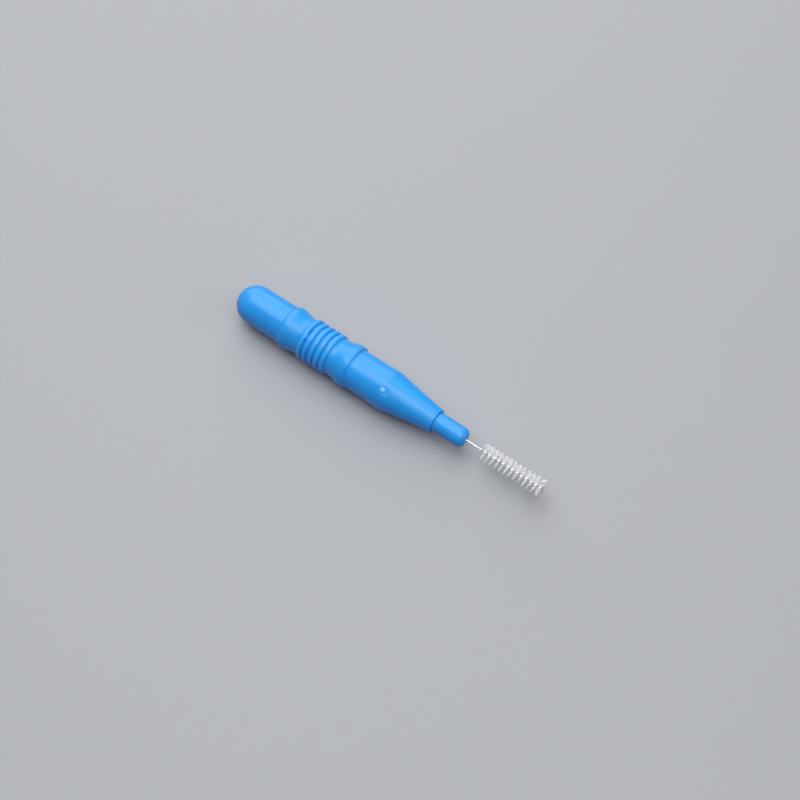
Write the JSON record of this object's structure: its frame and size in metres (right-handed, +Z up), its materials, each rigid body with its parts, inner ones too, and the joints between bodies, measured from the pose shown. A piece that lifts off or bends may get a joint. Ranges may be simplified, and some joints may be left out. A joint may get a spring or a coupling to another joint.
{
  "type": "interdental brush",
  "caption": "Retractable interdental brush: a ribbed grip sleeve, and a sliding plunger whose nozzle carries a twisted wire with nylon filaments.",
  "frame": {"origin": "centre of the bounding box in X and Y, at the height of the surface that the brush lies on", "axes": "+X along the axis towards the brush's tip, +Z up from the surface that the brush lies on"},
  "size_m": [0.052, 0.0066, 0.0065],
  "materials": {
    "sleeve_plastic": "glossy moulded polypropylene, blue",
    "plunger_plastic": "glossy moulded polypropylene, blue",
    "wire_steel": "drawn stainless wire",
    "filament_nylon": "milky nylon filament"
  },
  "bodies": {
    "sleeve": {"grip_sleeve": "sleeve_plastic"},
    "plunger": {"plunger": "plunger_plastic", "twisted_wire": "wire_steel", "filaments": "filament_nylon"}
  },
  "joints": [
    {"name": "plunger_slide", "type": "slide", "parent": "sleeve", "child": "plunger", "axis": [-1, 0, 0], "range_m": [0, 0.01755]}
  ]
}
